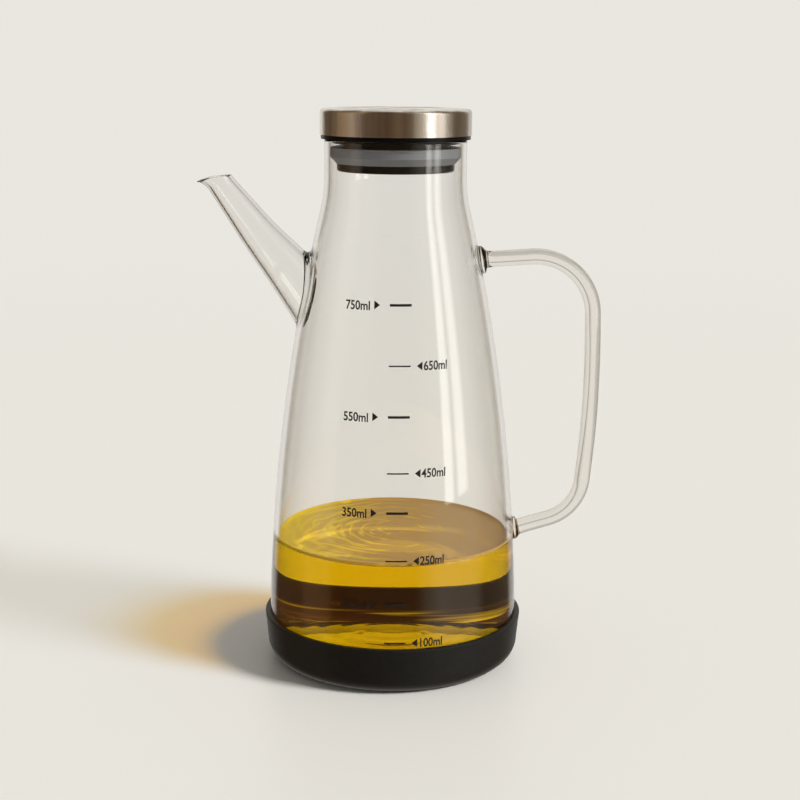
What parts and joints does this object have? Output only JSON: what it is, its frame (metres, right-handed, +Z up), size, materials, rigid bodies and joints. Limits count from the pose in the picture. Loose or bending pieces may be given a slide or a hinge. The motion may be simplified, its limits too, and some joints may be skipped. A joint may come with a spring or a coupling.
{
  "type": "glass oil jug",
  "caption": "Clear glass oil jug with a tapered side spout, a bent glass rod handle, a steel capped stopper, a measuring scale and a black silicone boot, part filled with yellow cooking oil",
  "frame": {"origin": "on the jug's axis at the underside of the boot, where it meets the table", "axes": "+Z up the jug's axis, +X towards the handle, -X towards the spout, Y across, through which the jug is symmetric"},
  "size_m": [0.1519, 0.099, 0.21],
  "materials": {
    "clear_glass": "clear blown borosilicate, fire-polished edges",
    "cooking_oil": "clear golden yellow cooking oil, level surface",
    "black_silicone": "matt black moulded silicone",
    "brushed_steel": "stainless steel, brushed round the rim",
    "black_plastic": "black moulded plastic, half gloss",
    "grey_silicone": "matt grey silicone ring"
  },
  "bodies": {
    "root": {"glass_jug": "clear_glass", "oil": "cooking_oil", "base_boot": "black_silicone", "lid_cap": "brushed_steel", "lid_plug": "black_plastic", "lid_seal": "grey_silicone"}
  },
  "joints": []
}
